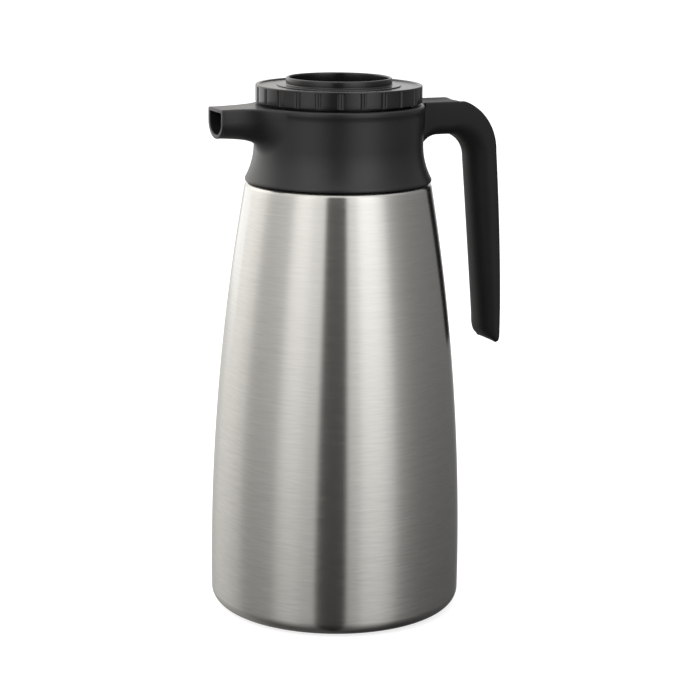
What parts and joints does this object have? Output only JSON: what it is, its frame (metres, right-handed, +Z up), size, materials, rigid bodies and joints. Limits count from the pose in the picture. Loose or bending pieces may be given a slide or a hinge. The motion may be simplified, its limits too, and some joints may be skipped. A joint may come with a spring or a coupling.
{
  "type": "thermal serving carafe",
  "caption": "Tall tapered steel vacuum carafe with a black collar, side spout, open-ended handle and a fluted turn lid with an open brew-through ring.",
  "frame": {"origin": "on the body's axis at the plane it stands on, the middle of the rubber base ring's lower face", "axes": "+Z up along the body's axis; the handle points to +X, the spout to -X; XZ is the plane of symmetry"},
  "size_m": [0.159, 0.1324, 0.28],
  "materials": {
    "steel": "fine brushing round the body, satin",
    "liner_steel": "plain drawn",
    "screw_steel": "plain",
    "black": "satin black moulding",
    "black_inner": "satin black moulding",
    "rubber": "matt",
    "seal_rubber": "matt grey",
    "white_plastic": "natural"
  },
  "bodies": {
    "carafe": {"outer_shell": "steel", "inner_flask": "liner_steel", "base_disc": "steel", "vacuum_plug": "liner_steel", "getter": "liner_steel", "base_pad": "rubber", "collar": "black", "neck_gasket": "seal_rubber", "retaining_clip": "liner_steel", "shoulder_seal": "seal_rubber", "handle_shell": "black", "handle_cover": "black_inner", "screw_front": "screw_steel", "screw_back": "screw_steel"},
    "seal": {"sleeve_ring": "seal_rubber"},
    "lid": {"lid_cap": "black", "brew_funnel": "black", "stopper_sleeve": "black", "funnel_seal": "seal_rubber", "valve_cage": "white_plastic"},
    "ball": {"float_ball": "white_plastic"}
  },
  "joints": [
    {"name": "lid_lift", "type": "slide", "parent": "carafe", "child": "seal", "axis": [0, 0, 1], "range_m": [0, 0.06]},
    {"name": "lid_turn", "type": "hinge", "parent": "seal", "child": "lid", "pos_m": [0, 0, 0.26], "axis": [0, 0, 1], "range_deg": [-60, 0]},
    {"name": "ball_float", "type": "slide", "parent": "lid", "child": "ball", "axis": [0, 0, 1], "range_m": [0, 0.009]}
  ]
}
